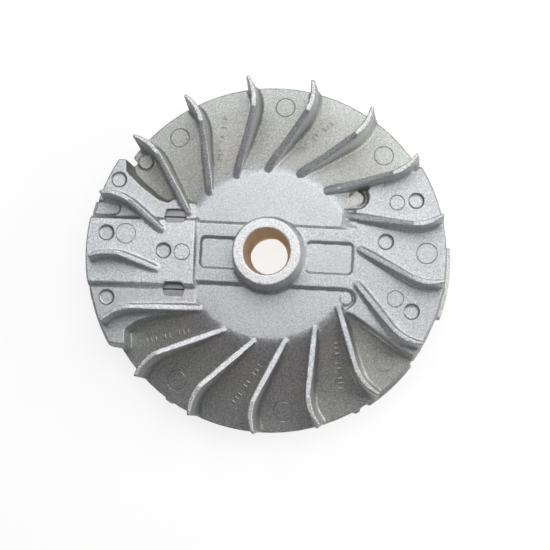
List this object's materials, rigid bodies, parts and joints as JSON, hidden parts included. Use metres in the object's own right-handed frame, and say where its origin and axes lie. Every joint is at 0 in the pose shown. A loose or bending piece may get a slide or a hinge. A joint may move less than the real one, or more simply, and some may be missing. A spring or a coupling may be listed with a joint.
{
  "type": "flywheel",
  "caption": "Die-cast fan flywheel for a small petrol engine, with swept vanes, a tapered crankshaft bore and an ignition magnet between laminated pole shoes.",
  "frame": {"origin": "on the crankshaft bore's axis, in the plane of the hub's back face", "axes": "+Z along the bore from the hub's back face to the fan side, -X through the magnet block, +X through the counterweight sector"},
  "size_m": [0.1412, 0.1375, 0.033],
  "materials": {
    "cast_aluminium": "fine blasted die casting, satin, with brighter machined vane crests",
    "magnet_alloy": "ground magnet alloy, dark satin",
    "pole_steel": "punched electrical steel plate, dull",
    "rivet_steel": "plain steel, dull"
  },
  "bodies": {
    "root": {"flywheel_casting": "cast_aluminium", "magnet": "magnet_alloy", "upper_pole_plate_01": "pole_steel", "upper_pole_plate_02": "pole_steel", "upper_pole_plate_03": "pole_steel", "upper_pole_plate_04": "pole_steel", "upper_pole_plate_05": "pole_steel", "upper_pole_plate_06": "pole_steel", "upper_pole_plate_07": "pole_steel", "upper_pole_plate_08": "pole_steel", "upper_pole_plate_09": "pole_steel", "upper_pole_plate_10": "pole_steel", "upper_pole_plate_11": "pole_steel", "upper_pole_plate_12": "pole_steel", "lower_pole_plate_01": "pole_steel", "lower_pole_plate_02": "pole_steel", "lower_pole_plate_03": "pole_steel", "lower_pole_plate_04": "pole_steel", "lower_pole_plate_05": "pole_steel", "lower_pole_plate_06": "pole_steel", "lower_pole_plate_07": "pole_steel", "lower_pole_plate_08": "pole_steel", "lower_pole_plate_09": "pole_steel", "lower_pole_plate_10": "pole_steel", "lower_pole_plate_11": "pole_steel", "lower_pole_plate_12": "pole_steel", "upper_pole_rivet_1": "rivet_steel", "upper_pole_rivet_2": "rivet_steel", "lower_pole_rivet_1": "rivet_steel", "lower_pole_rivet_2": "rivet_steel"}
  },
  "joints": []
}
